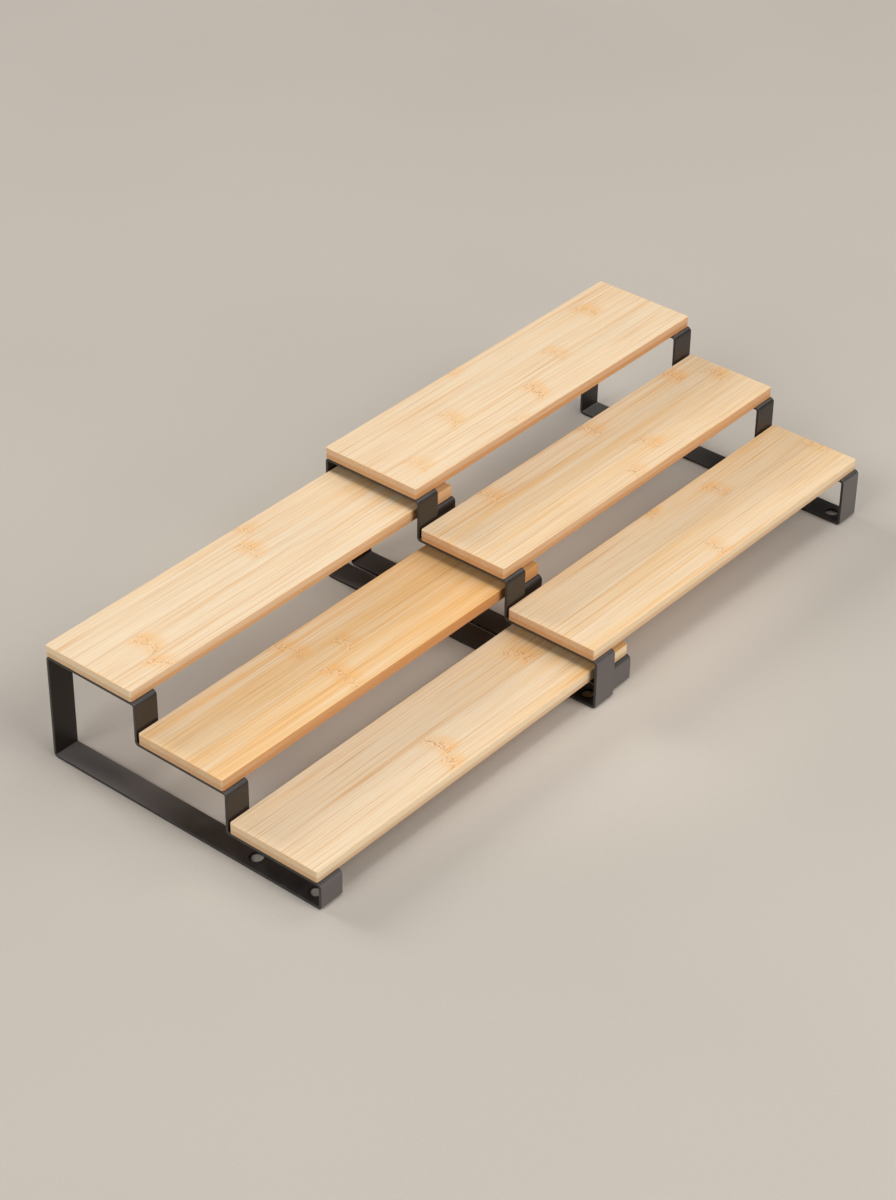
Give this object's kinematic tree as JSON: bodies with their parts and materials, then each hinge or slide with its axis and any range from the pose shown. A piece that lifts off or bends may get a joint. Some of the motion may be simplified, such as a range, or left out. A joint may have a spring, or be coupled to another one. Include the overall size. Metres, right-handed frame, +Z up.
{
  "type": "tiered shelf riser",
  "caption": "Expandable stepped shelf riser: bamboo boards screwed to bent flat steel frames, in two nested units that slide apart.",
  "frame": {"origin": "on the floor, in the middle of the box round both units as they stand pulled apart", "axes": "+X along the shelves from the lower unit to the upper one, +Y from the front edge to the back, +Z up"},
  "size_m": [0.5594, 0.231, 0.104],
  "materials": {
    "bamboo": "satin clear lacquer",
    "black_coat": "fine matt black powder coat",
    "screw_steel": "zinc plated"
  },
  "bodies": {
    "lower_unit": {"lower_front_shelf": "bamboo", "lower_middle_shelf": "bamboo", "lower_top_shelf": "bamboo", "lower_left_frame": "black_coat", "lower_right_frame": "black_coat", "lower_front_left_screws": "screw_steel", "lower_front_right_screws": "screw_steel", "lower_middle_left_screws": "screw_steel", "lower_middle_right_screws": "screw_steel", "lower_top_left_screws": "screw_steel", "lower_top_right_screws": "screw_steel"},
    "upper_unit": {"upper_front_shelf": "bamboo", "upper_middle_shelf": "bamboo", "upper_top_shelf": "bamboo", "upper_left_frame": "black_coat", "upper_right_frame": "black_coat", "upper_front_left_screws": "screw_steel", "upper_front_right_screws": "screw_steel", "upper_middle_left_screws": "screw_steel", "upper_middle_right_screws": "screw_steel", "upper_top_left_screws": "screw_steel", "upper_top_right_screws": "screw_steel"}
  },
  "joints": [
    {"name": "extend_slide", "type": "slide", "parent": "lower_unit", "child": "upper_unit", "axis": [1, 0, 0], "range_m": [-0.24, 0.002]}
  ]
}
